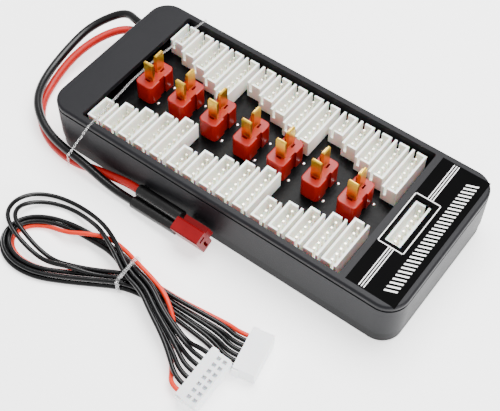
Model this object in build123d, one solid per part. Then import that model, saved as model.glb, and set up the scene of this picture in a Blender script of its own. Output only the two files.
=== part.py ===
from build123d import *
from math import cos, radians, sin, tan
import os

# Parallel balance-charging board: a two-part case that holds a circuit board with balance headers and
# battery plugs, a main lead with its connector, and a loose balance lead.
# Millimetres, Z up. +X is the end with the label, -Y is the side where the main connector lies.
# The origin is at the middle of the case's underside.

# --- case ------------------------------------------------------------------------------------------
case_length = 146.0
case_width = 65.2
case_height = 22.0
corner_radius = 8.0
wall = 2.0
roof = 2.0
base_height = 5.5
base_inset = 0.35
floor_thickness = 1.8
top_edge_radius = 1.0
window_start = -58.8
window_end = 50.0
window_side_rim = 2.6
window_corner_radius = 0.8
skirt_groove = 0.35
skirt_groove_height = 0.9
skirt_groove_drop = 1.9

# --- label plate -----------------------------------------------------------------------------------
label_start = 52.5
label_end = 70.9
label_width = 60.4
label_thickness = 0.7
label_fit = 0.05
charge_header_x = 54.3

# --- circuit board ---------------------------------------------------------------------------------
board_start = -61.5
board_end = 61.5
board_width = 58.4
board_thickness = 1.6
board_top = 13.8
post_radius = 2.4
post_pin_radius = 1.1
post_columns = (0, 2, 3)
post_inset_y = 3.4
pin_hole_fit = 0.1

# --- screws and bosses -----------------------------------------------------------------------------
boss_radius = 3.0
boss_places_x = (-66.5, 66.8)
boss_place_y = 12.0
boss_gap = 0.3
screw_shank_radius = 1.3
screw_head_radius = 2.6
screw_head_height = 1.6
screw_length = 10.0
screw_drive_depth = 0.9
screw_drive_radius = 1.1

# --- balance headers -------------------------------------------------------------------------------
pin_pitch = 2.5
header_end_margin = 2.45
header_depth = 5.75
header_height = 7.0
header_wall = 0.8
header_floor = 1.2
header_slot_width = 1.1
header_slot_depth = 4.2
header_tab = 0.9
pin_size = 0.64
pin_below_top = 1.0
pin_tail = 2.6
port_starts_x = (-58.0, -22.2, 13.6)
port_pitch = 7.06
header_outer_y = 28.0
port_pin_counts = (3, 4, 5, 6, 7)
charge_pin_count = 7

# --- battery plugs ---------------------------------------------------------------------------------
plug_count = 7
plug_first_x = -50.6
plug_pitch = 14.55
plug_length_y = 13.6
plug_width_x = 7.6
plug_height = 8.2
plug_corner_radius = 1.8
plug_notch = 0.7
plug_notch_length = 3.0
blade_width = 3.9
blade_thickness = 1.1
blade_above = 8.0
blade_chamfer = 0.45
cross_blade_y = -2.5
long_blade_y = 3.3
long_blade_x = -0.3
blade_tail = 2.2
slot_length = 2.1
slot_width = 0.7
slot_depth = 2.5
slot_offset = 1.25
spring_thickness = 0.3
spring_bow = 0.75
spring_fit = 0.02

# --- main lead -------------------------------------------------------------------------------------
main_wire_diameter = 3.2
grommet_y = 22.5
grommet_z = 11.6
grommet_wire_gap = 4.6
grommet_flange = 1.2
grommet_flange_margin = 1.4
grommet_body_margin = 0.9
sleeve_radius = 2.3
connector_start = -9.4
connector_end = 2.0
connector_corner_y = -42.7
connector_tilt = 22.0
connector_thickness = 5.1
connector_depth = 10.4
connector_lip = 2.2
connector_lip_start = 2.5
connector_lip_end = 8.0
contact_slot_width = 1.2
contact_slot_depth = 8.0
contact_wall = 0.35

tail_end_x = -59.0
red_tail_y = 17.8

black_wire_route = [
    (-74.2, 22.5, 13.9), (-78.2, 22.5, 13.9), (-86.0, 24.8, 13.2), (-92.4, 18.6, 10.4), (-95.6, 11.2, 8.4),
    (-96.0, 3.2, 7.0), (-95.4, -4.8, 6.1), (-93.9, -12.6, 5.8), (-91.2, -20.0, 6.0), (-86.8, -26.6, 6.5),
    (-80.4, -31.6, 6.3), (-73.0, -34.8, 5.8), (-65.2, -36.4, 5.4), (-57.2, -36.9, 5.2), (-50.6, -37.4, 4.4),
    (-43.8, -37.8, 2.8), (-37.6, -38.0, 2.2), (-33.6, -38.1, 2.4), (-29.8, -38.2, 2.7)]
red_wire_route = [
    (-74.2, 22.5, 9.3), (-78.2, 22.5, 9.3), (-84.2, 19.2, 9.3), (-88.4, 13.0, 8.2), (-91.0, 6.0, 6.8),
    (-92.2, -1.2, 5.2), (-92.2, -8.4, 3.4), (-91.2, -15.4, 1.8), (-88.8, -22.0, 1.65), (-84.4, -28.2, 1.65),
    (-78.0, -33.0, 1.65), (-70.8, -36.0, 1.65), (-63.4, -37.2, 1.65), (-57.0, -36.9, 1.65),
    (-50.4, -35.0, 1.7), (-43.6, -34.5, 2.9), (-37.4, -34.6, 5.0), (-33.4, -34.8, 6.0), (-29.4, -35.0, 6.4)]

# --- clear band round the case and the main lead ---------------------------------------------------
band_width = 0.8
band_thickness = 0.25
band_side = case_width / 2 + 0.25
band_level = case_height + 0.2
band_route = [
    (-52.8, band_side, 1.0), (-52.8, band_side, band_level), (-54.95, 6.8, band_level),
    (-54.95, -6.8, band_level), (-53.0, -band_side, band_level), (-60.3, -38.8, 6.0), (-60.5, -39.0, 0.3)]

# --- balance lead ----------------------------------------------------------------------------------
lead_wire_diameter = 1.6
plug_a_length = 18.6
plug_a_pitch = 2.5
plug_b_length = 15.9
plug_b_pitch = 2.0
lead_plug_thickness = 5.7
lead_plug_depth = 7.8
lead_plug_rib = 0.6
lead_plug_rib_depth = 2.2
contact_window = 1.3
contact_window_length = 1.9
contact_window_depth = 1.5
contact_fit = 0.1
lead_wire_height_a = 2.85
lead_wire_height_b = 2.2
plug_a_centre = (33.5, -77.6, 1.77)
plug_a_turn = -1.0
plug_a_lean = 10.0
plug_b_centre = (40.1, -61.2, 0.0)
plug_b_turn = 12.0
tie_centre = (-10.9, -63.0)
tie_turn = 3.0
tie_band = 1.1
tie_thickness = 0.7
tie_inside_width = 11.2
tie_inside_height = 7.1

# A strand's place in the lead: stations (x, y, height of the lower wires, wire spacing, layer step).
run_from_plug_a = [
    (19.0, -74.4, 3.1, 1.5, 1.4), (12.4, -71.5, 3.8, 1.1, 1.6), (5.6, -68.6, 4.7, 0.95, 1.6),
    (-2.0, -64.4, 5.1, 0.95, 1.6), (-10.6, -62.8, 5.2, 0.95, 1.6)]
run_to_plug_b = [
    (-20.6, -69.2, 1.0, 0.95, 1.6), (-11.4, -64.2, 1.65, 0.95, 1.6), (-2.0, -62.0, 1.3, 0.95, 1.6),
    (7.4, -61.9, 0.9, 1.05, 1.6), (17.4, -61.5, 0.85, 1.35, 1.6), (26.4, -61.2, 1.0, 1.65, 0.8)]
# The first wire runs under the others, comes up beside them, and crosses over them behind the tie.
first_wire_run = [
    (22.2, -80.8, 1.5), (17.0, -74.8, 1.2), (12.4, -67.5, 1.8), (8.7, -64.5, 4.15), (3.4, -61.6, 5.5),
    (-3.0, -60.0, 6.2), (-10.6, -58.5, 6.3), (-18.6, -56.4, 5.2), (-26.0, -55.9, 4.8), (-33.0, -59.4, 4.9),
    (-39.4, -62.6, 3.4)]
# The loop of the five wires that stay together: stations of the middle wire.
loop_of_five = [
    (-20.2, -58.9, 2.9), (-30.4, -58.5, 1.1), (-40.0, -59.1, 0.85), (-48.8, -61.6, 0.85),
    (-55.0, -66.2, 0.85), (-57.0, -72.6, 0.85), (-53.8, -78.2, 0.85), (-46.8, -80.9, 0.85),
    (-38.0, -79.8, 0.85), (-29.2, -75.3, 0.85)]
# The two wires that stand off the rest and cross over them at the left of the loop.
inner_stray_loop = [
    (-19.3, -60.0, 6.7), (-28.8, -56.1, 7.1), (-37.4, -53.6, 2.8), (-45.8, -52.9, 0.85), (-53.2, -54.9, 0.85),
    (-58.6, -59.0, 1.6), (-60.4, -64.6, 3.6), (-57.2, -69.6, 5.3), (-50.8, -71.6, 4.6), (-43.2, -72.9, 2.6),
    (-35.8, -73.0, 1.8), (-28.4, -70.9, 2.8)]
outer_stray_loop = [
    (-19.5, -57.9, 7.7), (-28.6, -53.6, 5.6), (-37.2, -51.0, 2.2), (-46.2, -50.4, 0.85), (-55.0, -52.2, 0.85),
    (-61.4, -56.6, 1.6), (-63.4, -63.4, 3.4), (-60.4, -70.2, 5.3), (-53.4, -73.8, 5.3), (-45.2, -75.2, 3.4),
    (-37.2, -75.4, 2.9), (-29.0, -73.0, 4.9)]
five_spacing = 0.95
five_layer_step = 1.6
stray_wires = {1: inner_stray_loop, 3: outer_stray_loop}
first_wire_joins = 3
wire_count = 7
plug_stub = 4.0

os.makedirs("parts", exist_ok=True)


def save(shape, name):
    export_step(shape, f"parts/{name}.step")


def block(x0, x1, y0, y1, z0, z1):
    """A box from its lowest and highest corners."""
    return Pos((x0 + x1) / 2, (y0 + y1) / 2, (z0 + z1) / 2) * Box(x1 - x0, y1 - y0, z1 - z0)


def rounded_block(length, width, z0, z1, radius):
    """An upright block centred on the origin, its vertical edges rounded."""
    return Pos(0, 0, z0) * extrude(RectangleRounded(length, width, radius), z1 - z0)


def rod(x, y, z0, z1, radius):
    """An upright cylinder."""
    return Pos(x, y, (z0 + z1) / 2) * Cylinder(radius, z1 - z0)


# --- case ------------------------------------------------------------------------------------------
boss_places = [(x, y) for x in boss_places_x for y in (-boss_place_y, boss_place_y)]
# each post stands between two columns of header pins
post_places_x = [start + header_depth / 2 + (column + 0.5) * port_pitch
                 for start, column in zip(port_starts_x, post_columns)]
post_places = [(x, s * (board_width / 2 - post_inset_y)) for x in post_places_x for s in (-1, 1)]
inside_length = case_length - 2 * wall
inside_width = case_width - 2 * wall
inside_radius = corner_radius - wall
half_width = case_width / 2
grommet_width = main_wire_diameter + 2 * grommet_body_margin
grommet_height = grommet_wire_gap + grommet_width
wall_face_x = -case_length / 2
grommet_plane = Plane((wall_face_x, grommet_y, grommet_z), x_dir=(0, 1, 0), z_dir=(1, 0, 0))


def header_length(pins):
    return pin_pitch * (pins - 1) + 2 * header_end_margin


def make_top_cover():
    shell = rounded_block(case_length, case_width, base_height, case_height, corner_radius)
    shell = fillet(shell.faces().sort_by(Axis.Z)[-1].edges(), top_edge_radius)
    shell -= rounded_block(inside_length, inside_width, base_height, case_height - roof, inside_radius)
    for x, y in boss_places:
        shell += rod(x, y, base_height + boss_gap, case_height - roof, boss_radius)
        shell -= rod(x, y, base_height, base_height + screw_length, screw_shank_radius)
    window = rounded_block(window_end - window_start, case_width - 2 * window_side_rim,
                           case_height - roof - 1, case_height + 1, window_corner_radius)
    shell -= Pos((window_start + window_end) / 2, 0, 0) * window
    # recess for the label plate, open below where the charge header comes through
    shell -= block(label_start - label_fit, label_end + label_fit, -label_width / 2 - label_fit,
                   label_width / 2 + label_fit, case_height - label_thickness, case_height + 1)
    half_header = header_length(charge_pin_count) / 2 + 0.5
    shell -= block(charge_header_x - 0.5, charge_header_x + header_depth + 0.5, -half_header, half_header,
                   case_height - roof - 1, case_height)
    # groove all round under the top edge
    groove_top = case_height - skirt_groove_drop
    ring = rounded_block(case_length + 2, case_width + 2, groove_top - skirt_groove_height, groove_top,
                         corner_radius + 1)
    ring -= rounded_block(case_length - 2 * skirt_groove, case_width - 2 * skirt_groove,
                          groove_top - skirt_groove_height, groove_top, corner_radius - skirt_groove)
    shell -= ring
    cutter = grommet_plane * RectangleRounded(grommet_width, grommet_height, grommet_width / 2 - 0.01)
    shell -= extrude(cutter, wall + 1)
    return shell


def make_bottom_cover():
    outer_length = case_length - 2 * base_inset
    outer_width = case_width - 2 * base_inset
    tray = rounded_block(outer_length, outer_width, 0, base_height, corner_radius - base_inset)
    tray = chamfer(tray.faces().sort_by(Axis.Z)[0].edges(), 0.5)
    tray -= rounded_block(inside_length, inside_width, floor_thickness, base_height, inside_radius)
    board_bottom = board_top - board_thickness
    for x, y in post_places:
        tray += rod(x, y, floor_thickness, board_bottom, post_radius)
        tray += rod(x, y, board_bottom, board_top - 0.3, post_pin_radius)
    for x, y in boss_places:
        tray += rod(x, y, floor_thickness, base_height, boss_radius + 0.6)
        tray -= rod(x, y, -1, base_height + 1, screw_shank_radius + 0.2)
        tray -= rod(x, y, -1, screw_head_height + 0.4, screw_head_radius + 0.3)
    return tray


def make_screw(x, y):
    """Pan-head screw, its head sunk in the underside of the case."""
    seat = screw_head_height + 0.4
    head = rod(x, y, seat - screw_head_height, seat, screw_head_radius)
    head = chamfer(head.faces().sort_by(Axis.Z)[0].edges(), 0.4)
    shank = rod(x, y, seat, base_height + screw_length - 0.6, screw_shank_radius - 0.02)
    drive = rod(x, y, 0, seat - screw_head_height + screw_drive_depth, screw_drive_radius)
    return head + shank - drive


def make_label_plate():
    plate = block(label_start, label_end, -label_width / 2, label_width / 2,
                  case_height - label_thickness, case_height)
    half_header = header_length(charge_pin_count) / 2 + 0.3
    plate -= block(charge_header_x - 0.3, charge_header_x + header_depth + 0.3, -half_header, half_header,
                   0, case_height + 1)
    return plate


save(make_top_cover(), "top_cover")
save(make_bottom_cover(), "bottom_cover")
save(Compound([make_screw(x, y) for x, y in boss_places]), "case_screws")
save(make_label_plate(), "label_plate")


# --- balance headers -------------------------------------------------------------------------------
def header_housing(pins):
    """Open-topped header, standing on z = 0, long side along Y from y = 0, its slotted side at +X."""
    length = header_length(pins)
    housing = block(0, header_depth, 0, length, 0, header_height)
    housing -= block(header_wall, header_depth - header_wall, header_wall, length - header_wall,
                     header_floor, header_height + 1)
    slot_end = header_depth - header_tab
    for y0, y1 in ((-1, header_wall), (length - header_wall, length + 1)):
        housing -= block(slot_end - header_slot_width, slot_end, y0, y1,
                         header_height - header_slot_depth, header_height + 1)
    return housing


def header_pins(pins):
    """The square pins of a header, as separate solids."""
    middle = header_depth / 2
    half = pin_size / 2
    return [block(middle - half, middle + half, header_end_margin + i * pin_pitch - half,
                  header_end_margin + i * pin_pitch + half, -pin_tail, header_height - pin_below_top)
            for i in range(pins)]


def housing_with_holes(pins):
    housing = header_housing(pins)
    for pin in header_pins(pins):
        housing -= pin
    return housing


def port_headers(start_x, side):
    """Placements of a port's five headers. Side -1 is the near row, +1 the far row, turned half round."""
    for step, pins in enumerate(port_pin_counts):
        x = start_x + step * port_pitch
        if side < 0:
            yield pins, Pos(x, -header_outer_y, board_top)
        else:
            yield pins, Pos(x + header_depth, header_outer_y, board_top) * Rot(0, 0, 180)


header_solids = {pins: housing_with_holes(pins) for pins in port_pin_counts}
ports = [(x, side) for side in (-1, 1) for x in port_starts_x]
all_pins = []
for number, (x, side) in enumerate(ports, start=1):
    placed = list(port_headers(x, side))
    save(Compound([place * header_solids[pins] for pins, place in placed]), f"balance_headers_{number}")
    pins_here = [place * pin for pins, place in placed for pin in header_pins(pins)]
    save(Compound(pins_here), f"header_pins_{number}")
    all_pins += pins_here
charge_place = Pos(charge_header_x, -header_length(charge_pin_count) / 2, board_top)
save(charge_place * header_solids[charge_pin_count], "charge_header")
charge_pins = [charge_place * pin for pin in header_pins(charge_pin_count)]
save(Compound(charge_pins), "charge_header_pins")
all_pins += charge_pins


# --- battery plugs ---------------------------------------------------------------------------------
def blade(width, thickness, z0, z1):
    """Upright blade centred on the origin, width along X, its top edges broken."""
    strip = Pos(0, 0, (z0 + z1) / 2) * Box(width, thickness, z1 - z0)
    return chamfer(strip.faces().sort_by(Axis.Z)[-1].edges(), blade_chamfer)


plug_top = board_top + plug_height
blade_foot = board_top - blade_tail
blade_top = plug_top + blade_above
cross_blade = Pos(0, cross_blade_y, 0) * blade(blade_width, blade_thickness, blade_foot, blade_top)
long_blade = Pos(long_blade_x, long_blade_y, 0) * Rot(0, 0, 90) * blade(
    blade_width, blade_thickness, blade_foot, blade_top)


def make_spring():
    """Bowed strip that stands behind the crosswise blade, seen along X."""
    face_y = cross_blade_y + blade_thickness / 2 + spring_fit
    foot, top = plug_top, blade_top - 1.0
    with BuildPart() as strip:
        with BuildSketch(Plane.YZ.offset(-blade_width * 0.35)):
            with BuildLine():
                ThreePointArc((face_y, foot), (face_y + spring_bow, (foot + top) / 2), (face_y, top))
                Line((face_y, top), (face_y + spring_thickness, top))
                ThreePointArc((face_y + spring_thickness, top),
                              (face_y + spring_bow + spring_thickness, (foot + top) / 2),
                              (face_y + spring_thickness, foot))
                Line((face_y + spring_thickness, foot), (face_y, foot))
            make_face()
        extrude(amount=blade_width * 0.7)
    return strip.part


def make_plug_body():
    body = rounded_block(plug_width_x, plug_length_y, board_top, plug_top, plug_corner_radius)
    body = fillet(body.faces().sort_by(Axis.Z)[-1].edges(), 0.4)
    notch_x = plug_width_x / 2
    body -= block(notch_x - plug_notch, notch_x + 1, -plug_notch_length / 2, plug_notch_length / 2,
                  board_top - 1, plug_top + 1)
    body -= Pos(0, cross_blade_y, 0) * Pos(0, 0, plug_top / 2) * Box(blade_width, blade_thickness, plug_top + 9)
    body -= Pos(long_blade_x, long_blade_y, plug_top / 2) * Box(blade_thickness, blade_width, plug_top + 9)
    body -= Pos(0, cross_blade_y - slot_offset, plug_top) * Box(slot_length, slot_width, 2 * slot_depth)
    body -= Pos(long_blade_x + slot_offset, long_blade_y, plug_top) * Box(
        slot_width, slot_length, 2 * slot_depth)
    return body


plug_body = make_plug_body()
cross_spring = make_spring()
turn_to_long = Pos(long_blade_x, long_blade_y, 0) * Rot(0, 0, 90) * Pos(0, -cross_blade_y, 0)
springs = []
for number in range(plug_count):
    place = Pos(plug_first_x + number * plug_pitch, 0, 0)
    save(place * plug_body, f"battery_plug_{number + 1}")
    save(Compound([place * cross_blade, place * long_blade]), f"plug_blades_{number + 1}")
    springs += [place * cross_spring, place * turn_to_long * cross_spring]
save(Compound(springs), "blade_springs")


# --- circuit board ---------------------------------------------------------------------------------
def make_board():
    board = block(board_start, board_end, -board_width / 2, board_width / 2,
                  board_top - board_thickness, board_top)
    for x, y in post_places:
        board -= rod(x, y, 0, case_height, post_pin_radius + pin_hole_fit)
    for pin in all_pins:
        board -= pin
    for number in range(plug_count):
        place = Pos(plug_first_x + number * plug_pitch, 0, 0)
        board -= place * Pos(0, cross_blade_y, board_top) * Box(blade_width, blade_thickness, 9)
        board -= place * Pos(long_blade_x, long_blade_y, board_top) * Box(blade_thickness, blade_width, 9)
    return board


save(make_board(), "main_board")


# --- cords -----------------------------------------------------------------------------------------
def tube(points, diameter, name):
    """Straight runs joined by tangent arcs, each as large as its two runs allow."""
    path = [Vector(*p) for p in points]
    runs = [(b - a).length for a, b in zip(path, path[1:])]
    radii = []
    for i in range(1, len(path) - 1):
        half_turn = radians((path[i] - path[i - 1]).get_angle(path[i + 1] - path[i])) / 2
        radii.append(0.45 * min(runs[i - 1], runs[i]) / tan(half_turn))
    line = FilletPolyline(*path, radius=radii)
    section = Plane(origin=line @ 0, z_dir=line % 0) * Circle(diameter / 2)
    solid = sweep(section, path=line)
    whole = line.length * 3.14159 * diameter ** 2 / 4
    print(f"{name}: length {line.length:.0f}, radii {[round(r, 1) for r in radii]}, runs {min(runs):.1f}-"
          f"{max(runs):.1f}, volume ratio {solid.volume / whole:.3f}")
    return solid


# --- main lead -------------------------------------------------------------------------------------
def make_grommet():
    """Oval grommet in the end wall with a flange outside and one bore for each wire."""
    body = extrude(grommet_plane * RectangleRounded(grommet_width, grommet_height, grommet_width / 2 - 0.01),
                   wall)
    flange_width = grommet_width + 2 * grommet_flange_margin
    flange_height = grommet_height + 2 * grommet_flange_margin
    flange = extrude(grommet_plane * RectangleRounded(flange_width, flange_height, flange_width / 2 - 0.01),
                     -grommet_flange)
    flange = fillet(flange.faces().sort_by(Axis.X)[0].edges(), 0.5)
    grommet = body + flange
    for side in (-1, 1):
        bore = grommet_plane * Pos(0, side * grommet_wire_gap / 2) * Circle(main_wire_diameter / 2)
        grommet -= extrude(bore, wall + grommet_flange + 2, both=True)
    return grommet


def make_wire_tails():
    """The main wires inside the case, from the flange through the grommet down on to the board."""
    start_x = wall_face_x - grommet_flange
    inside_x = wall_face_x + wall + 2.2
    rest = board_top + main_wire_diameter / 2 + 0.3
    upper, lower = grommet_z + grommet_wire_gap / 2, grommet_z - grommet_wire_gap / 2
    black = [(start_x, grommet_y, upper), (inside_x, grommet_y, upper),
             (board_start - 3, grommet_y, rest), (tail_end_x, grommet_y, rest)]
    red = [(start_x, grommet_y, lower), (inside_x, grommet_y, lower), (board_start - 5, red_tail_y + 1.2, 11.8),
           (board_start - 1.5, red_tail_y, rest + 0.2), (tail_end_x, red_tail_y, rest)]
    return Compound([tube(route, main_wire_diameter - 0.02, "wire tail") for route in (black, red)])


save(make_grommet(), "lead_grommet")
save(make_wire_tails(), "main_wire_tails")
save(tube(black_wire_route, main_wire_diameter, "black main wire"), "main_wire_black")
save(tube(red_wire_route, main_wire_diameter, "red main wire"), "main_wire_red")


def straight_sleeve(route):
    """Round sleeve that carries on from a wire's last run as far as the connector."""
    last = Vector(*route[-1])
    axis = (last - Vector(*route[-2])).normalized()
    reach = (connector_start - last.X) / axis.X + sleeve_radius
    return extrude(Plane(origin=last, z_dir=axis) * Circle(sleeve_radius), reach)


tilt = radians(connector_tilt)
across = Vector(0, cos(tilt), sin(tilt))
down = Vector(0, sin(tilt), -cos(tilt))
connector_corner = Vector(connector_start, connector_corner_y, connector_depth * cos(tilt) + 0.02)
sleeve_stop = block(connector_start, connector_start + 20, -80, -20, -5, 40)
save(Compound([straight_sleeve(route) - sleeve_stop for route in (black_wire_route, red_wire_route)]),
     "wire_sleeves")


def connector_block(a0, a1, d0, d1, x0, x1):
    """A block in the leaning frame of the main connector: a across its thickness, d down its width."""
    frame = Plane(origin=Vector(x0, connector_corner.Y, connector_corner.Z), x_dir=across, z_dir=(1, 0, 0))
    # in this frame +y points up the width, so the width is laid off downwards
    shape = frame * Pos((a0 + a1) / 2, -(d0 + d1) / 2) * Rectangle(a1 - a0, d1 - d0)
    return extrude(shape, x1 - x0)


slot_places = [(contact_wall + 1.0, connector_thickness - contact_wall - 1.0, 1.7, 1.7 + contact_slot_width),
               (connector_thickness / 2 - contact_slot_width / 2, connector_thickness / 2 + contact_slot_width / 2,
                5.0, connector_depth - 1.2)]


def make_connector():
    body = connector_block(0, connector_thickness, 0, connector_depth, connector_start, connector_end)
    body = chamfer(body.edges().filter_by(Axis.X), 0.5)
    body += connector_block(connector_thickness - 0.5, connector_thickness + connector_lip,
                            connector_lip_start, connector_lip_end, connector_start + 1.2, connector_end - 0.4)
    for a0, a1, d0, d1 in slot_places:
        body -= connector_block(a0, a1, d0, d1, connector_end - contact_slot_depth, connector_end + 1)
    return body


def make_connector_contacts():
    """Flat spring contact lying against the far side of each slot."""
    contacts = []
    for a0, a1, d0, d1 in slot_places:
        if a1 - a0 > d1 - d0:
            d1 = d0 + contact_wall
        else:
            a1 = a0 + contact_wall
        contacts.append(connector_block(a0, a1, d0, d1, connector_end - contact_slot_depth, connector_end - 0.8))
    return Compound(contacts)


save(make_connector(), "main_connector")
save(make_connector_contacts(), "connector_contacts")


def strap(start, end):
    """Straight stretch of the clear band, flat side towards the case, run past its ends by its thickness."""
    along = (Vector(*end) - Vector(*start)).normalized()
    frame = Plane(origin=Vector(*start) - along * band_thickness / 2, x_dir=Vector(1, 0, 0).cross(along),
                  z_dir=along)
    length = (Vector(*end) - Vector(*start)).length + band_thickness
    return extrude(frame * Rectangle(band_thickness, band_width), length)


def make_clear_band():
    """Thin band up the far side, over the case, down round the main wires; its underside is left open."""
    solid = None
    for start, end in zip(band_route, band_route[1:]):
        piece = strap(start, end)
        solid = piece if solid is None else solid + piece
    return solid


save(make_clear_band(), "clear_band")


# --- balance lead ----------------------------------------------------------------------------------
def heading(a, b):
    step = Vector(b[0] - a[0], b[1] - a[1], 0)
    return step.normalized()


def station_point(station, direction, wire):
    """Where a wire runs at a station: wires lie side by side, every second one in the upper layer."""
    x, y, low, spacing, step = station
    left = Vector(-direction.Y, direction.X, 0)
    place = Vector(x, y, low) + left * ((wire_count // 2 - wire) * spacing)
    return place + Vector(0, 0, step * (wire % 2))


def station_headings(stations, first, last):
    """Direction of the lead at each station, from its neighbours on both sides."""
    points = [tuple(first), *stations, tuple(last)]
    return [heading(points[i - 1], points[i + 1]) for i in range(1, len(points) - 1)]


plug_a_place = Pos(*plug_a_centre) * Rot(0, 0, plug_a_turn) * Rot(plug_a_lean, 0, 0)
plug_b_place = Pos(*plug_b_centre) * Rot(0, 0, plug_b_turn)
five_wires = [wire for wire in range(wire_count) if wire not in stray_wires]


def plug_points(place, wire_y, height, stub=plug_stub):
    """A wire's end on the plug's wire side and the point a stub length out of it."""
    end = (place * Pos(-lead_plug_depth / 2, wire_y, height)).position
    return end, (place * Pos(-lead_plug_depth / 2 - stub, wire_y, height)).position


def middle_stub(place, height):
    return plug_points(place, 0, height)[1]


def wire_route(wire):
    """A wire's points: out of plug a, through the tie, round the loop, back through the tie to plug b."""
    place_in_row = wire - wire_count // 2
    points = list(plug_points(plug_a_place, place_in_row * plug_a_pitch, lead_wire_height_a))
    if wire == 0:
        points += [Vector(*p) for p in first_wire_run]
    else:
        bearings = station_headings(run_from_plug_a, middle_stub(plug_a_place, lead_wire_height_a),
                                    loop_of_five[0])
        points += [station_point(s, d, wire) for s, d in zip(run_from_plug_a, bearings)]
    if wire in stray_wires:
        points += [Vector(*p) for p in stray_wires[wire]]
    else:
        lane = five_wires.index(wire)
        bearings = station_headings(loop_of_five, run_from_plug_a[-1], run_to_plug_b[0])
        stations = list(zip(loop_of_five, bearings))
        for (x, y, low), direction in stations[first_wire_joins:] if wire == 0 else stations:
            left = Vector(-direction.Y, direction.X, 0)
            raised = five_layer_step * (lane % 2)
            points.append(Vector(x, y, low + raised) + left * ((2 - lane) * five_spacing))
    bearings = station_headings(run_to_plug_b, loop_of_five[-1], middle_stub(plug_b_place, lead_wire_height_b))
    points += [station_point(s, d, wire) for s, d in zip(run_to_plug_b, bearings)]
    end, stub = plug_points(plug_b_place, -place_in_row * plug_b_pitch, lead_wire_height_b)
    return points + [stub, end]


for wire in range(wire_count):
    name = f"lead_wire_{wire + 1}"
    save(tube([tuple(p) for p in wire_route(wire)], lead_wire_diameter, name), name)


def make_lead_plug(length, pitch, face_up):
    """Seven-way plug lying flat, long side along Y, wires at its -X side. Windows show the contacts."""
    body = Pos(0, 0, lead_plug_thickness / 2) * Box(lead_plug_depth, length, lead_plug_thickness)
    body = fillet(body.edges().filter_by(Axis.Z), 0.4)
    for side in (-1, 1):
        rib = Box(lead_plug_rib_depth, lead_plug_rib + 0.02, lead_plug_thickness * 0.8)
        body += Pos(-lead_plug_depth / 2 + lead_plug_rib_depth / 2, side * (length + lead_plug_rib) / 2,
                    lead_plug_thickness / 2) * rib
    contacts = []
    window_z = lead_plug_thickness if face_up else 0
    for i in range(wire_count):
        y = (i - wire_count // 2) * pitch
        for x in (0.2, 2.5):
            body -= Pos(x, y, window_z) * Box(contact_window_length * 0.8, contact_window,
                                              2 * contact_window_depth)
        centre = Pos(0.6, y, lead_plug_thickness / 2)
        body -= centre * Box(lead_plug_depth - 2.2, contact_window + 0.2, contact_window + 0.4)
        contacts.append(centre * Box(lead_plug_depth - 2.2 - 2 * contact_fit, contact_window,
                                     contact_window + 0.2))
    return body, Compound(contacts)


for label, place, length, pitch, face_up in (
        ("a", plug_a_place, plug_a_length, plug_a_pitch, True),
        ("b", plug_b_place, plug_b_length, plug_b_pitch, False)):
    body, contacts = make_lead_plug(length, pitch, face_up)
    save(place * body, f"lead_plug_{label}")
    save(place * contacts, f"plug_{label}_contacts")


def make_lead_tie():
    """Rounded band round the middle of the lead, standing on edge."""
    height = tie_inside_height + 2 * tie_thickness
    turn = radians(tie_turn)
    frame = Plane(origin=(*tie_centre, height / 2), x_dir=(-sin(turn), cos(turn), 0),
                  z_dir=(cos(turn), sin(turn), 0))
    outer = frame * RectangleRounded(tie_inside_width + 2 * tie_thickness, height, 1.9)
    inner = frame * RectangleRounded(tie_inside_width, tie_inside_height, 1.2)
    return extrude(outer, tie_band / 2, both=True) - extrude(inner, tie_band, both=True)


save(make_lead_tie(), "lead_tie")
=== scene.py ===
from math import cos, pi, radians, sin, sqrt

import bmesh
import bpy
from mathutils import Matrix, Vector


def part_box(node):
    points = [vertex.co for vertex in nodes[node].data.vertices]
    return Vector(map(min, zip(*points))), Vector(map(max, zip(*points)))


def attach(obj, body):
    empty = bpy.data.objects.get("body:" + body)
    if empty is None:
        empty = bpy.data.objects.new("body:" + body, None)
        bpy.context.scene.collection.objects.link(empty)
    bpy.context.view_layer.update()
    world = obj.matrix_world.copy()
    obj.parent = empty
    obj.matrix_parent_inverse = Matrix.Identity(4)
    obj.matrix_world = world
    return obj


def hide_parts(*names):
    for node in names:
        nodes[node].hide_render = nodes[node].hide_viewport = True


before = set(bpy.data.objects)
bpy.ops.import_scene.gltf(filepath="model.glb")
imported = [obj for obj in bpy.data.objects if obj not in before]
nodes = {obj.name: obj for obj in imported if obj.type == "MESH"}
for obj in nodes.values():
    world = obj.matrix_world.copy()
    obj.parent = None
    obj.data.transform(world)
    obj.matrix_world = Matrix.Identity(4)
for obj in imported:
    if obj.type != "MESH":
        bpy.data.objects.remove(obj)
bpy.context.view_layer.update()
BOARD, LEAD = "charging_board", "balance_lead"
MM = 0.001

# --- camera ----------------------------------------------------------------------------------------
azimuth, elevation, roll = radians(36.02), radians(54.374), radians(0.959)
target = Vector((2.672, -13.165, 0)) * MM
distance = 370.70 * MM
back = Vector((sin(azimuth) * cos(elevation), -cos(azimuth) * cos(elevation), sin(elevation)))
right = Vector((cos(azimuth), sin(azimuth), 0))
up = back.cross(right)
tilted_right = right * cos(roll) + up * sin(roll)
tilted_up = up * cos(roll) - right * sin(roll)
camera_data = bpy.data.cameras.new("camera")
camera_data.lens, camera_data.sensor_width = 75.06, 36
camera = bpy.data.objects.new("camera", camera_data)
bpy.context.collection.objects.link(camera)
rotation = Matrix((tilted_right, tilted_up, back)).transposed().to_4x4()
camera.matrix_world = Matrix.Translation(target + back * distance) @ rotation
bpy.context.scene.camera = camera


# --- materials -------------------------------------------------------------------------------------
drift_detail, grain_detail = 4, 3
ramp_low, ramp_high = 0.3, 0.7
roughness_drift, lowest_roughness = 0.06, 0.02
grain_depth, scatter_depth = 0.0002, 0.002  # metres


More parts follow.
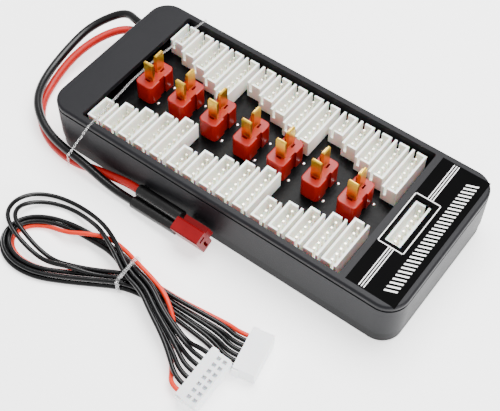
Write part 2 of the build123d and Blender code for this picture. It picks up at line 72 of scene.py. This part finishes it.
def material(name, colour, roughness=0.5, metallic=0.0, mottle=0.06, mottle_mm=6.0, grain=0.1, grain_mm=0.3,
             subsurface=0.0, transmission=0.0, alpha=1.0, stretch=(1, 1, 1), specular=0.5):
    """Principled surface whose colour and roughness drift over mottle_mm, with a fine grain bump."""
    made = bpy.data.materials.new(name)
    made.use_nodes = True
    tree = made.node_tree
    shader = tree.nodes["Principled BSDF"]
    place = tree.nodes.new("ShaderNodeTexCoord")
    scale = tree.nodes.new("ShaderNodeMapping")
    scale.inputs["Scale"].default_value = stretch
    drift = tree.nodes.new("ShaderNodeTexNoise")
    drift.inputs["Scale"].default_value = 1 / (mottle_mm * MM)
    drift.inputs["Detail"].default_value = drift_detail
    ramp = tree.nodes.new("ShaderNodeValToRGB")
    darker, lighter = ramp.color_ramp.elements
    darker.position, lighter.position = ramp_low, ramp_high
    darker.color = (*[c * (1 - mottle) for c in colour], 1)
    lighter.color = (*[min(1, c * (1 + mottle)) for c in colour], 1)
    rough = tree.nodes.new("ShaderNodeMapRange")
    rough.inputs["To Min"].default_value = max(lowest_roughness, roughness - roughness_drift)
    rough.inputs["To Max"].default_value = min(1, roughness + roughness_drift)
    fine = tree.nodes.new("ShaderNodeTexNoise")
    fine.inputs["Scale"].default_value = 1 / (grain_mm * MM)
    fine.inputs["Detail"].default_value = grain_detail
    bump = tree.nodes.new("ShaderNodeBump")
    bump.inputs["Strength"].default_value = grain
    bump.inputs["Distance"].default_value = grain_depth
    link = tree.links.new
    link(place.outputs["Object"], scale.inputs["Vector"])
    link(scale.outputs["Vector"], drift.inputs["Vector"])
    link(scale.outputs["Vector"], fine.inputs["Vector"])
    link(drift.outputs["Fac"], ramp.inputs["Fac"])
    link(drift.outputs["Fac"], rough.inputs["Value"])
    link(fine.outputs["Fac"], bump.inputs["Height"])
    link(ramp.outputs["Color"], shader.inputs["Base Color"])
    link(rough.outputs["Result"], shader.inputs["Roughness"])
    link(bump.outputs["Normal"], shader.inputs["Normal"])
    shader.inputs["Metallic"].default_value = metallic
    shader.inputs["Subsurface Weight"].default_value = subsurface
    shader.inputs["Subsurface Scale"].default_value = scatter_depth
    shader.inputs["Transmission Weight"].default_value = transmission
    shader.inputs["Alpha"].default_value = alpha
    shader.inputs["Specular IOR Level"].default_value = specular
    return made


looks = {
    "case": material("case_plastic", (0.0085, 0.0085, 0.0101), 0.42, grain=0.2, mottle_mm=18, specular=0.12),
    "base": material("base_plastic", (0.006, 0.006, 0.0069), 0.45, grain=0.2, mottle_mm=18, specular=0.12),
    "screw": material("screw_steel", (0.08, 0.08, 0.085), 0.35, 1.0),
    "label": material("label_plate", (0.0006, 0.0006, 0.0007), grain=0.06, mottle_mm=9, specular=0.015),
    "print": material("white_print", (0.86, 0.86, 0.85), 0.6, grain=0.3, grain_mm=0.15, mottle_mm=1.5),
    "board": material("solder_resist", (0.0015, 0.0015, 0.0017), 0.3, specular=0.07, grain=0.25, grain_mm=1.2,
                      mottle_mm=4, mottle=0.3),
    "header": material("header_nylon", (0.95, 0.94, 0.87), 0.42, subsurface=0.35, grain=0.08, mottle_mm=5,
                       mottle=0.04),
    "pin": material("tinned_pin", (0.78, 0.74, 0.62), 0.24, 1.0, grain=0.05),
    "plug": material("red_nylon", (0.27, 0.005, 0.002), 0.34, specular=0.3, grain=0.12, mottle_mm=4),
    "blade": material("gold_plate", (0.88, 0.54, 0.055), 0.3, 1.0, grain=0.2, grain_mm=0.25,
                      stretch=(1, 1, 0.12)),
    "spring": material("gold_spring", (0.85, 0.55, 0.14), 0.26, 1.0),
    "rubber": material("black_rubber", (0.012, 0.012, 0.012), 0.55, grain=0.15),
    "black_wire": material("black_silicone", (0.0025, 0.0025, 0.003), 0.28, specular=0.27, grain=0.12,
                           grain_mm=0.5, mottle=0.15),
    "red_wire": material("red_silicone", (0.40, 0.007, 0.004), 0.4, specular=0.3, grain=0.12, grain_mm=0.5),
    "sleeve": material("heat_shrink", (0.0035, 0.0035, 0.0035), 0.34, specular=0.35, grain=0.3, grain_mm=1.4,
                       mottle=0.2),
    "connector": material("dark_red_nylon", (0.17, 0.003, 0.005), 0.32, specular=0.15, mottle_mm=4),
    "clear": material("clear_elastic", (0.72, 0.72, 0.72), 0.12, transmission=0.8, alpha=0.4),
    "lead_red": material("lead_red", (0.62, 0.022, 0.004), 0.36, specular=0.3, mottle_mm=3),
    "lead_black": material("lead_black", (0.0022, 0.0022, 0.0026), 0.24, specular=0.25, mottle=0.15,
                           mottle_mm=3),
    "lead_plug": material("white_nylon", (0.84, 0.85, 0.87), 0.4, subsurface=0.2, grain=0.08, mottle=0.03,
                          mottle_mm=5),
    "contact": material("plug_contact", (0.66, 0.62, 0.5), 0.3, 1.0),
    "solder": material("solder", (0.72, 0.72, 0.73), 0.22, 1.0, grain=0.2, grain_mm=0.5),
    "floor": material("paper_floor", (0.93, 0.93, 0.93), 0.9, grain=0.03, grain_mm=2, mottle=0.005,
                      mottle_mm=200),
}
look_of = {
    "top_cover": "case", "bottom_cover": "base", "case_screws": "screw", "label_plate": "label",
    "main_board": "board", "charge_header": "header", "charge_header_pins": "pin", "blade_springs": "spring",
    "lead_grommet": "rubber", "main_wire_tails": "black_wire", "wire_sleeves": "sleeve",
    "main_connector": "connector", "connector_contacts": "blade", "clear_band": "clear",
    "lead_plug_a": "lead_plug", "lead_plug_b": "lead_plug", "plug_a_contacts": "contact",
    "plug_b_contacts": "contact", "lead_tie": "clear"}
port_count, battery_plug_count = 6, 7
for number in range(1, port_count + 1):
    look_of[f"balance_headers_{number}"] = "header"
    look_of[f"header_pins_{number}"] = "pin"
for number in range(1, battery_plug_count + 1):
    look_of[f"battery_plug_{number}"] = "plug"
    look_of[f"plug_blades_{number}"] = "blade"
for node, look in look_of.items():
    for material_slot in nodes[node].material_slots:
        material_slot.material = looks[look]


def soften(node, width_mm):
    """Rounds a node's sharp edges a little, so that they catch the light."""
    bevel = nodes[node].modifiers.new("edge", "BEVEL")
    bevel.width, bevel.segments = width_mm * MM, 2
    bevel.limit_method, bevel.angle_limit = "ANGLE", radians(50)
    bevel.use_clamp_overlap = True


header_edge, plug_edge = 0.14, 0.2
for node in look_of:
    if node.startswith("balance_headers") or node == "charge_header":
        soften(node, header_edge)
    elif node.startswith(("battery_plug", "lead_plug")) or node == "main_connector":
        soften(node, plug_edge)


# --- cords -----------------------------------------------------------------------------------------
main_wire_diameter, lead_wire_diameter = 3.2, 1.6


def cord(name, points_mm, diameter_mm, look):
    """A free cord on one smooth spline whose control points are the route's points."""
    data = bpy.data.curves.new(name, "CURVE")
    data.dimensions = "3D"
    spline = data.splines.new("NURBS")
    spline.points.add(len(points_mm) - 1)
    for point, place in zip(spline.points, points_mm):
        point.co = (*[c * MM for c in place], 1)
    spline.order_u = 3
    spline.use_endpoint_u = True
    spline.resolution_u = 8
    data.bevel_depth = diameter_mm / 2 * MM
    data.bevel_resolution = 6
    data.use_fill_caps = True
    data.materials.append(looks[look])
    piece = bpy.data.objects.new(name, data)
    bpy.context.collection.objects.link(piece)
    return piece


black_wire_route = [
    (-74.2, 22.5, 13.9), (-78.2, 22.5, 13.9), (-86.0, 24.8, 13.2), (-92.4, 18.6, 10.4), (-95.6, 11.2, 8.4),
    (-96.0, 3.2, 7.0), (-95.4, -4.8, 6.1), (-93.9, -12.6, 5.8), (-91.2, -20.0, 6.0), (-86.8, -26.6, 6.5),
    (-80.4, -31.6, 6.3), (-73.0, -34.8, 5.8), (-65.2, -36.4, 5.4), (-57.2, -36.9, 5.2), (-50.6, -37.4, 4.4),
    (-43.8, -37.8, 2.8), (-37.6, -38.0, 2.2), (-33.6, -38.1, 2.4), (-29.8, -38.2, 2.7)]
red_wire_route = [
    (-74.2, 22.5, 9.3), (-78.2, 22.5, 9.3), (-84.2, 19.2, 9.3), (-88.4, 13.0, 8.2), (-91.0, 6.0, 6.8),
    (-92.2, -1.2, 5.2), (-92.2, -8.4, 3.4), (-91.2, -15.4, 1.8), (-88.8, -22.0, 1.65), (-84.4, -28.2, 1.65),
    (-78.0, -33.0, 1.65), (-70.8, -36.0, 1.65), (-63.4, -37.2, 1.65), (-57.0, -36.9, 1.65),
    (-50.4, -35.0, 1.7), (-43.6, -34.5, 2.9), (-37.4, -34.6, 5.0), (-33.4, -34.8, 6.0), (-29.4, -35.0, 6.4)]
for colour, route in (("black", black_wire_route), ("red", red_wire_route)):
    piece = cord(f"main_lead_{colour}", route, main_wire_diameter, f"{colour}_wire")
    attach(piece, BOARD)
    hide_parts(f"main_wire_{colour}")

# The balance lead's stations, as (x, y, height of the lower wires, wire spacing, layer step).
plug_a_centre, plug_a_turn, plug_a_lean, plug_a_pitch = (33.5, -77.6, 1.77), -1.0, 10.0, 2.5
plug_b_centre, plug_b_turn, plug_b_pitch = (40.1, -61.2, 0.0), 12.0, 2.0
lead_wire_height_a, lead_wire_height_b = 2.85, 2.2
plug_depth, plug_stub, wire_count = 7.8, 4.0, 7
run_from_plug_a = [
    (19.0, -74.4, 3.1, 1.5, 1.4), (12.4, -71.5, 3.8, 1.1, 1.6), (5.6, -68.6, 4.7, 0.95, 1.6),
    (-2.0, -64.4, 5.1, 0.95, 1.6), (-10.6, -62.8, 5.2, 0.95, 1.6)]
run_to_plug_b = [
    (-20.6, -69.2, 1.0, 0.95, 1.6), (-11.4, -64.2, 1.65, 0.95, 1.6), (-2.0, -62.0, 1.3, 0.95, 1.6),
    (7.4, -61.9, 0.9, 1.05, 1.6), (17.4, -61.5, 0.85, 1.35, 1.6), (26.4, -61.2, 1.0, 1.65, 0.8)]
first_wire_run = [
    (22.2, -80.8, 1.5), (17.0, -74.8, 1.2), (12.4, -67.5, 1.8), (8.7, -64.5, 4.15), (3.4, -61.6, 5.5),
    (-3.0, -60.0, 6.2), (-10.6, -58.5, 6.3), (-18.6, -56.4, 5.2), (-26.0, -55.9, 4.8), (-33.0, -59.4, 4.9),
    (-39.4, -62.6, 3.4)]
loop_of_five = [
    (-20.2, -58.9, 2.9), (-30.4, -58.5, 1.1), (-40.0, -59.1, 0.85), (-48.8, -61.6, 0.85),
    (-55.0, -66.2, 0.85), (-57.0, -72.6, 0.85), (-53.8, -78.2, 0.85), (-46.8, -80.9, 0.85),
    (-38.0, -79.8, 0.85), (-29.2, -75.3, 0.85)]
inner_stray_loop = [
    (-19.3, -60.0, 6.7), (-28.8, -56.1, 7.1), (-37.4, -53.6, 2.8), (-45.8, -52.9, 0.85), (-53.2, -54.9, 0.85),
    (-58.6, -59.0, 1.6), (-60.4, -64.6, 3.6), (-57.2, -69.6, 5.3), (-50.8, -71.6, 4.6), (-43.2, -72.9, 2.6),
    (-35.8, -73.0, 1.8), (-28.4, -70.9, 2.8)]
outer_stray_loop = [
    (-19.5, -57.9, 7.7), (-28.6, -53.6, 5.6), (-37.2, -51.0, 2.2), (-46.2, -50.4, 0.85), (-55.0, -52.2, 0.85),
    (-61.4, -56.6, 1.6), (-63.4, -63.4, 3.4), (-60.4, -70.2, 5.3), (-53.4, -73.8, 5.3), (-45.2, -75.2, 3.4),
    (-37.2, -75.4, 2.9), (-29.0, -73.0, 4.9)]
stray_wires = {1: inner_stray_loop, 3: outer_stray_loop}
five_wires = [wire for wire in range(wire_count) if wire not in stray_wires]
five_spacing, five_layer_step, first_wire_joins = 0.95, 1.6, 3
plug_a_place = (Matrix.Translation(plug_a_centre) @ Matrix.Rotation(radians(plug_a_turn), 4, "Z")
                @ Matrix.Rotation(radians(plug_a_lean), 4, "X"))
plug_b_place = Matrix.Translation(plug_b_centre) @ Matrix.Rotation(radians(plug_b_turn), 4, "Z")


def plug_points(place, wire_y, height):
    end = place @ Vector((-plug_depth / 2, wire_y, height))
    return end, place @ Vector((-plug_depth / 2 - plug_stub, wire_y, height))


def lefts(stations, first, last):
    """The direction to the left of the lead at each station."""
    points = [first, *stations, last]
    found = []
    for before, after in zip(points, points[2:]):
        x, y = after[0] - before[0], after[1] - before[1]
        size = sqrt(x * x + y * y)
        found.append(Vector((-y / size, x / size, 0)))
    return found


def station_point(station, left, wire):
    x, y, low, spacing, step = station
    return Vector((x, y, low + step * (wire % 2))) + left * ((wire_count // 2 - wire) * spacing)


def lead_route(wire):
    """A wire's points: out of plug a, through the tie, round the loop, back through the tie to plug b."""
    row = wire - wire_count // 2
    points = list(plug_points(plug_a_place, row * plug_a_pitch, lead_wire_height_a))
    if wire == 0:
        points += first_wire_run
    else:
        sides = lefts(run_from_plug_a, plug_points(plug_a_place, 0, lead_wire_height_a)[1], loop_of_five[0])
        points += [station_point(s, left, wire) for s, left in zip(run_from_plug_a, sides)]
    if wire in stray_wires:
        points += stray_wires[wire]
    else:
        lane = five_wires.index(wire)
        stations = list(zip(loop_of_five, lefts(loop_of_five, run_from_plug_a[-1], run_to_plug_b[0])))
        for (x, y, low), left in stations[first_wire_joins:] if wire == 0 else stations:
            points.append(Vector((x, y, low + five_layer_step * (lane % 2)))
                          + left * ((len(five_wires) // 2 - lane) * five_spacing))
    sides = lefts(run_to_plug_b, loop_of_five[-1], plug_points(plug_b_place, 0, lead_wire_height_b)[1])
    points += [station_point(s, left, wire) for s, left in zip(run_to_plug_b, sides)]
    end, stub = plug_points(plug_b_place, -row * plug_b_pitch, lead_wire_height_b)
    return points + [stub, end]


lead_lengths = [200, 202, 200, 208, 200, 202, 204]
for wire, length in enumerate(lead_lengths):
    route = lead_route(wire)
    colour = "red" if wire == 0 else "black"
    piece = cord(f"balance_lead_wire_{wire + 1}", route, lead_wire_diameter, f"lead_{colour}")
    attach(piece, LEAD)
    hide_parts(f"lead_wire_{wire + 1}")

# --- floor and light -------------------------------------------------------------------------------
floor_half, floor_z = 3, -0.0002  # metres
floor_mesh = bpy.data.meshes.new("floor")
floor_mesh.from_pydata([(x * floor_half, y * floor_half, floor_z) for x, y in ((-1, -1), (1, -1), (1, 1), (-1, 1))],
                       [], [(0, 1, 2, 3)])
floor = bpy.data.objects.new("floor", floor_mesh)
floor_mesh.materials.append(looks["floor"])
bpy.context.collection.objects.link(floor)

white = (1, 1, 1, 1)
glow = looks["floor"].node_tree.nodes["Principled BSDF"]
glow.inputs["Emission Color"].default_value = white
glow.inputs["Emission Strength"].default_value = 1.3

world = bpy.data.worlds.new("studio")
world.use_nodes = True
world.node_tree.nodes["Background"].inputs["Color"].default_value = white
world.node_tree.nodes["Background"].inputs["Strength"].default_value = 1.0
bpy.context.scene.world = world


def area_light(name, place, aim, size, power):
    """A soft rectangular light, in metres and watts, that points at aim."""
    data = bpy.data.lights.new(name, "AREA")
    data.shape, data.size, data.size_y, data.energy = "RECTANGLE", size[0], size[1], power
    light = bpy.data.objects.new(name, data)
    bpy.context.collection.objects.link(light)
    light.location = place
    light.rotation_mode = "QUATERNION"
    light.rotation_quaternion = (Vector(aim) - Vector(place)).to_track_quat("-Z", "Y")


area_light("overhead", (0.0, 0.25, 0.7), (0, 0, 0), (0.7, 0.5), 16)
area_light("end_fill", (0.62, -0.16, 0.16), (0.06, 0, 0.01), (0.3, 0.3), 3.5)


# --- printed lines on the label --------------------------------------------------------------------
def add_piece(mesh, name, look, body):
    """Turns a finished bmesh into a piece that rides on a body."""
    data = bpy.data.meshes.new(name)
    mesh.to_mesh(data)
    mesh.free()
    data.materials.append(looks[look])
    piece = bpy.data.objects.new(name, data)
    bpy.context.collection.objects.link(piece)
    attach(piece, body)


def flat_bars(name, bars, z_mm, thickness_mm, look, body):
    """Thin printed bars, each given by its four corners in the plan, in millimetres."""
    mesh = bmesh.new()
    for corners in bars:
        low = [mesh.verts.new((x * MM, y * MM, z_mm * MM)) for x, y in corners]
        high = [mesh.verts.new((x * MM, y * MM, (z_mm + thickness_mm) * MM)) for x, y in corners]
        mesh.faces.new(high)
        mesh.faces.new(low[::-1])
        for i in range(4):
            j = (i + 1) % 4
            mesh.faces.new((low[i], low[j], high[j], high[i]))
    bmesh.ops.recalc_face_normals(mesh, faces=mesh.faces)
    add_piece(mesh, name, look, body)


def bar(x0, x1, y0, y1):
    return [(x0, y0), (x1, y0), (x1, y1), (x0, y1)]


label_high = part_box("label_plate")[1] / MM
label_top, print_thickness = label_high.z, 0.04
frame_x0, frame_x1, frame_y, line = 52.7, 62.6, 12.0, 0.36
lines = [bar(frame_x0, frame_x0 + line, -frame_y, frame_y), bar(frame_x1 - line, frame_x1, -frame_y, frame_y),
         bar(frame_x0, frame_x1, frame_y - line, frame_y), bar(frame_x0, frame_x1, -frame_y, -frame_y + line)]
thin_line, side_margin = 0.34, 0.5
for side in (-1, 1):
    y_far = side * (label_high.y - side_margin)
    for x in (57.1, 58.0, 58.9):
        lines.append(bar(x, x + thin_line, *sorted((side * frame_y, y_far))))
# a plain row of slanted strokes along the outer edge of the label
stroke_x0, stroke_x1, stroke_width, stroke_lean = 64.6, 68.6, 0.7, 1.6
first_stroke_y, stroke_step, stroke_count = -26.8, 1.7, 31
for i in range(stroke_count):
    y = first_stroke_y + i * stroke_step
    lines.append([(stroke_x0, y), (stroke_x0, y + stroke_width),
                  (stroke_x1, y + stroke_width + stroke_lean), (stroke_x1, y + stroke_lean)])
flat_bars("label_print", lines, label_top, print_thickness, "print", BOARD)


# --- solder on the board ---------------------------------------------------------------------------
def mounds(name, places, radius_mm, height_mm, look, body, rings_up=5, sides=12):
    """Small rounded drops of solder, flat below."""
    mesh = bmesh.new()
    for x, y, z in places:
        rings = []
        for k in range(rings_up):
            rise = k / rings_up * pi / 2
            rings.append([mesh.verts.new(((x + radius_mm * cos(rise) * cos(t * 2 * pi / sides)) * MM,
                                          (y + radius_mm * cos(rise) * sin(t * 2 * pi / sides)) * MM,
                                          (z + height_mm * sin(rise)) * MM)) for t in range(sides)])
        top = mesh.verts.new((x * MM, y * MM, (z + height_mm) * MM))
        for t in range(sides):
            u = (t + 1) % sides
            for lower, upper in zip(rings, rings[1:]):
                mesh.faces.new((lower[t], lower[u], upper[u], upper[t]))
            mesh.faces.new((rings[-1][t], rings[-1][u], top))
        mesh.faces.new(rings[0][::-1])
    for face in mesh.faces:
        face.smooth = True
    add_piece(mesh, name, look, body)


board_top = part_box("main_board")[1].z / MM
beside_plug, pad_y, drop_radius, drop_height = 1.2, 4.6, 0.75, 0.45
drops = []
for number in range(1, battery_plug_count + 1):
    plug_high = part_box(f"battery_plug_{number}")[1] / MM
    for side in (-1, 1):
        drops.append((plug_high.x + beside_plug, side * pad_y, board_top))
mounds("board_solder", drops, drop_radius, drop_height, "solder", BOARD)
